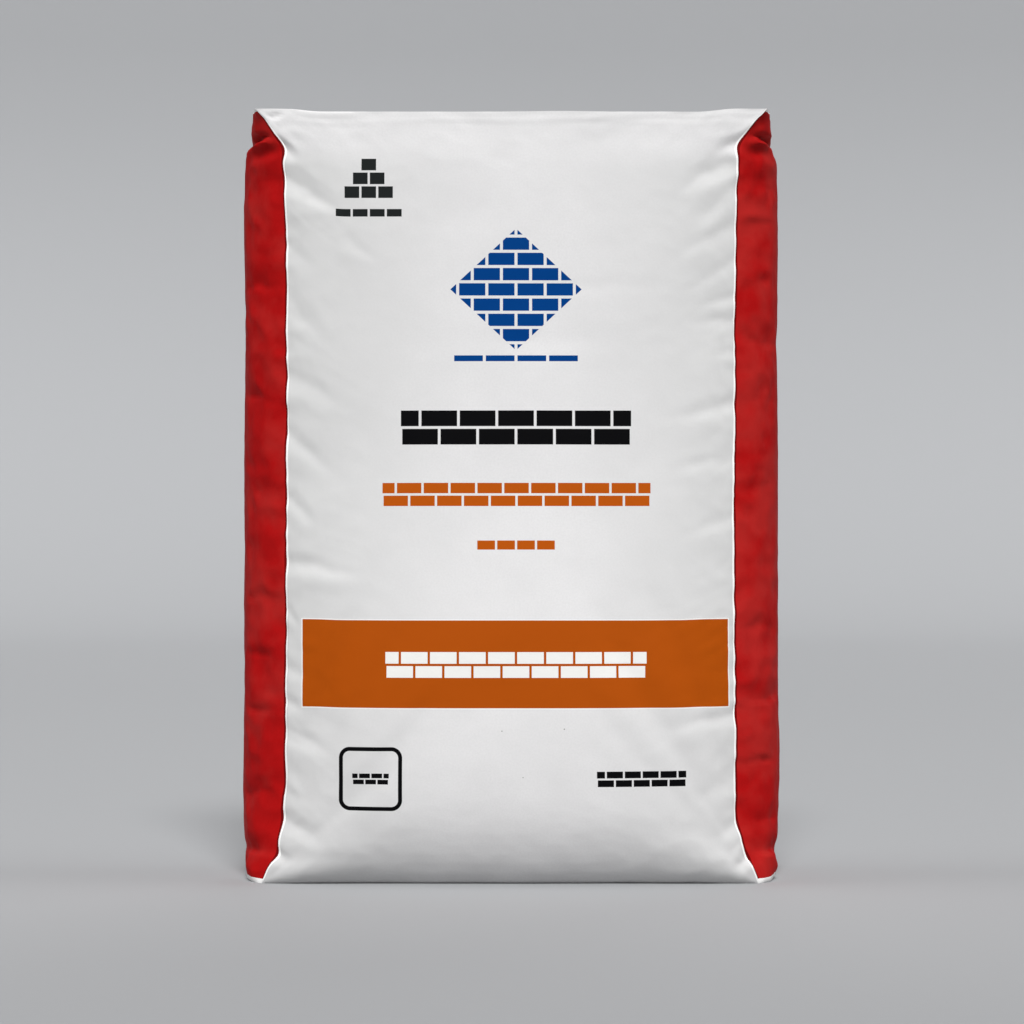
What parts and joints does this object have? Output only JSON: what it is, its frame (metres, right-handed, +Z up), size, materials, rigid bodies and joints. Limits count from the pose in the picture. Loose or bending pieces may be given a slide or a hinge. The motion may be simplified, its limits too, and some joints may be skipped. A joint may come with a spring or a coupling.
{
  "type": "cement bag",
  "caption": "Filled paper cement sack with folded block ends, glued cover patches and a filling sleeve, standing on its bottom end.",
  "frame": {"origin": "middle of the bottom end, on the floor the sack stands on", "axes": "+Z up along the sack's length, X along its width, the printed front faces -Y"},
  "size_m": [0.4456, 0.1726, 0.6377],
  "materials": {
    "sack_paper": "satin bleached sack paper, printed red on the two narrow sides",
    "patch_paper": "matt bleached sack paper, glued down",
    "sleeve_paper": "matt unbleached brown sack paper",
    "cement_powder": "settled dry grey cement powder"
  },
  "bodies": {
    "root": {"sack_tube": "sack_paper", "top_patch": "patch_paper", "bottom_patch": "patch_paper", "valve_sleeve": "sleeve_paper", "cement_fill": "cement_powder"}
  },
  "joints": []
}
